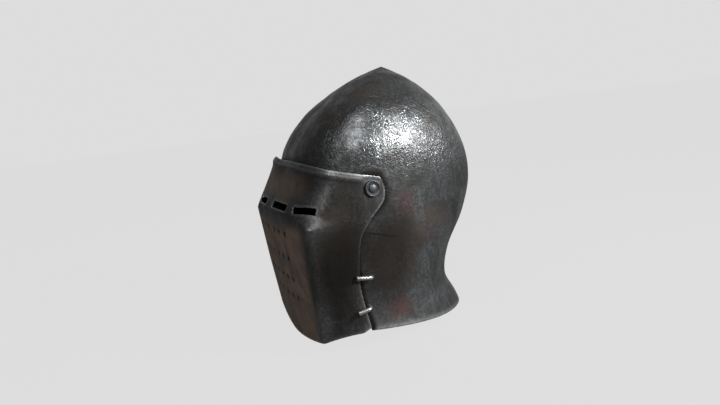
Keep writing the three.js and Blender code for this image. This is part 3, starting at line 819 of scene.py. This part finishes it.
# Painted shade and dark patches on the skull: a dark band painted along the visor's edges, where the visor
# shades the skull;
# also darker over the cheeks and at the tip, and a little darker over all but the polished patch.
GAP_SHADE_BAND = {"dark": 4.5, "clear": 9.0}
DARK_CHEEK = {"centre": (96, 22, -70), "reach": (34, 52, 84)}
DARK_PATCH_SHARES = {"unpolished": 0.2, "tip": 0.6, "cheek": 0.8}
from_visor = edge_distance(brow_points + rear_points)
to_helmet = standing.inverted()
shade_and_dark_mask = skull.data.attributes.new("shade_and_dark_patches", "FLOAT", "POINT")
for vert, value in zip(skull.data.vertices, shade_and_dark_mask.data):
    point = to_helmet @ vert.co
    unpolished = DARK_PATCH_SHARES["unpolished"] * (1 - spot(point, **POLISH))
    tip = DARK_PATCH_SHARES["tip"] * spot(point, **TIP)
    cheek = DARK_PATCH_SHARES["cheek"] * spot((abs(point.x), point.y, point.z), **DARK_CHEEK)
    # Painted shade: near-black in a band along the visor's edges; the other shares are plain darker patches.
    value.value = max(unpolished, tip, cheek, 1 - ramp(from_visor(point), GAP_SHADE_BAND["dark"], GAP_SHADE_BAND["clear"]))

# Pivots: on each side a turned washer with a raised rim and a domed rivet, its tail spread inside the skull.
# Both are plain steel, worn grey by the turning of the visor; the washer's rim and the rivet's dome are
# lightened, as wear and as a painted highlight.
ROUND_STEPS = 40
EAR_FACE = 101
GAP = 0.3
WASHER = {"radius": 8, "plate": 1.2, "rim height": 2.2, "rim width": 2}
RIVET = {"shank": 2.7, "head": 4.0, "dome": 1.6}
RIVET_TAIL = {"radius": 5.2, "end": 3.6, "height": 1.8, "seat": 93.4}
DOME_STEPS = 8


def turned(profile):
    """A piece turned about the pivot line, from (distance out, radius) points."""
    shape = bmesh.new()
    verts = [shape.verts.new((out, radius, 0)) for out, radius in profile]
    edges = [shape.edges.new(pair) for pair in zip(verts, verts[1:])]
    bmesh.ops.spin(shape, geom=verts + edges, cent=(0, 0, 0), axis=(1, 0, 0), angle=2 * math.pi,
                   steps=ROUND_STEPS, use_merge=True)
    bmesh.ops.remove_doubles(shape, verts=shape.verts, dist=0.001)
    bmesh.ops.recalc_face_normals(shape, faces=shape.faces)
    return shape


foot = EAR_FACE + GAP
top, rim_top = foot + WASHER["plate"], foot + WASHER["rim height"]
outer, inner = WASHER["radius"], WASHER["radius"] - WASHER["rim width"]
third = WASHER["rim width"] / 3
washer_profile = [
    (foot, BORE_RADIUS), (foot, outer), (top, outer), (rim_top, outer - third),
    (rim_top, inner + third), (top, inner), (top, BORE_RADIUS), (foot, BORE_RADIUS),
]
seat, tail_seat = top + GAP, RIVET_TAIL["seat"]
tail_end = tail_seat - RIVET_TAIL["height"]
rivet_profile = [
    (tail_end, 0), (tail_end, RIVET_TAIL["end"]), (tail_seat, RIVET_TAIL["radius"]),
    (tail_seat, RIVET["shank"]), (seat, RIVET["shank"]),
]
for k in range(DOME_STEPS + 1):
    turn = math.pi / 2 * k / DOME_STEPS
    rivet_profile.append((seat + RIVET["dome"] * math.sin(turn), RIVET["head"] * math.cos(turn)))

pivot_steel = steel(
    "worn pivot steel", dark=(0.05, 0.052, 0.054), light=(0.125, 0.13, 0.136), rust=(0.12, 0.09, 0.07),
    bright=(0.19, 0.2, 0.21), rough=(0.46, 0.58), bump={"strength": 0.3, "distance": 0.0002})
for hand, turn in (("left", 0), ("right", math.pi)):
    for kind, profile in (("washer", washer_profile), ("rivet", rivet_profile)):
        shape = turned(profile)
        bmesh.ops.transform(shape, matrix=Matrix.Rotation(turn, 4, "Z"), verts=shape.verts)
        # Wear and a painted highlight: the washer's rim and the rivet's dome are lightened.
        mask(shape, "wear_and_highlight", lambda p: 0.5 * ramp(abs(p.x), top + 0.2, rim_top))
        node = f"pivot_{kind}_{hand}"
        piece = finish_mesh(f"{node}_turned", shape, "helmet", node)
        add_modifier(piece, "BEVEL", width=0.00025, segments=3, limit_method="ANGLE",
                     angle_limit=math.radians(35))
        piece.data.materials.append(pivot_steel)

# Keepers: on each side two bent steel pins, riveted through the skull behind the visor's rear edge. Their
# arms lie forward over that edge and hold the visor against the skull. They are bright from filing.
KEEPER_RADIUS = 2.3
KEEPER_BEND = 3.2
KEEPER_TAIL = {"radius": 4.4, "end": 3.3, "height": 1.6}
KEEPERS = [
    {"name": "upper", "y": 2.1, "z": -87.5, "reach": 17.5, "tilt": -3.2, "arm": 98.7, "tail": 90},
    {"name": "lower", "y": -0.7, "z": -116.8, "reach": 14, "tilt": 15.8, "arm": 102, "tail": 90.2},
]
KEEPER_SIDES = 24
BEND_STEPS = 8


def push(shape, face, step, scale=1.0):
    """Draws a face out along a step, and widens it."""
    made = bmesh.ops.extrude_face_region(shape, geom=[face])["geom"]
    verts = [part for part in made if isinstance(part, bmesh.types.BMVert)]
    bmesh.ops.delete(shape, geom=[face], context="FACES_ONLY")
    bmesh.ops.translate(shape, vec=step, verts=verts)
    if scale != 1.0:
        centre = sum((vert.co for vert in verts), Vector()) / len(verts)
        bmesh.ops.scale(shape, vec=(scale, scale, scale), space=Matrix.Translation(-centre), verts=verts)
    return next(part for part in made if isinstance(part, bmesh.types.BMFace))


def keeper_pin(keeper):
    """Drawn out from its spread tail through the skull, bent forward and drawn out again as the arm."""
    shape = bmesh.new()
    half = KEEPER_TAIL["height"] / 2
    tail = Matrix.Translation((keeper["tail"] - half, 0, 0)) @ Matrix.Rotation(math.pi / 2, 4, "Y")
    bmesh.ops.create_circle(shape, cap_ends=True, segments=KEEPER_SIDES, radius=KEEPER_TAIL["end"],
                            matrix=tail)
    end = shape.faces[:][0]
    bmesh.ops.duplicate(shape, geom=[end])
    face = push(shape, end, (KEEPER_TAIL["height"], 0, 0), KEEPER_TAIL["radius"] / KEEPER_TAIL["end"])
    face = push(shape, face, (0, 0, 0), KEEPER_RADIUS / KEEPER_TAIL["radius"])
    face = push(shape, face, (keeper["arm"] - KEEPER_BEND - keeper["tail"] - half, 0, 0))
    corner = (keeper["arm"] - KEEPER_BEND, -KEEPER_BEND, 0)
    made = bmesh.ops.spin(shape, geom=[face], cent=corner, axis=(0, 0, 1), angle=-math.pi / 2,
                          steps=BEND_STEPS)
    bmesh.ops.delete(shape, geom=[face], context="FACES_ONLY")
    face = next(part for part in made["geom_last"] if isinstance(part, bmesh.types.BMFace))
    push(shape, face, (0, KEEPER_BEND - keeper["reach"], 0))
    bmesh.ops.remove_doubles(shape, verts=shape.verts, dist=0.001)
    bmesh.ops.recalc_face_normals(shape, faces=shape.faces)
    return shape


keeper_steel = steel(
    "bright keeper steel", dark=(0.27, 0.27, 0.265), light=(0.38, 0.38, 0.37), rust=(0.2, 0.15, 0.12),
    bright=(0.75, 0.75, 0.74), rough=(0.34, 0.40), bump={"strength": 0.02, "distance": 0.0001})
for hand, turn in (("left", 0), ("right", math.pi)):
    for keeper in KEEPERS:
        shape = keeper_pin(keeper)
        place = Matrix.Translation((0, keeper["y"], keeper["z"])) @ Matrix.Rotation(
            math.radians(keeper["tilt"]), 4, "X") @ Matrix.Rotation(turn, 4, "Y")
        bmesh.ops.transform(shape, matrix=place, verts=shape.verts)
        node = f"keeper_{keeper['name']}_{hand}"
        piece = finish_mesh(f"{node}_pin", shape, "helmet", node)
        add_modifier(piece, "BEVEL", width=0.0004, segments=3, limit_method="ANGLE",
                     angle_limit=math.radians(35))
        piece.data.materials.append(keeper_steel)
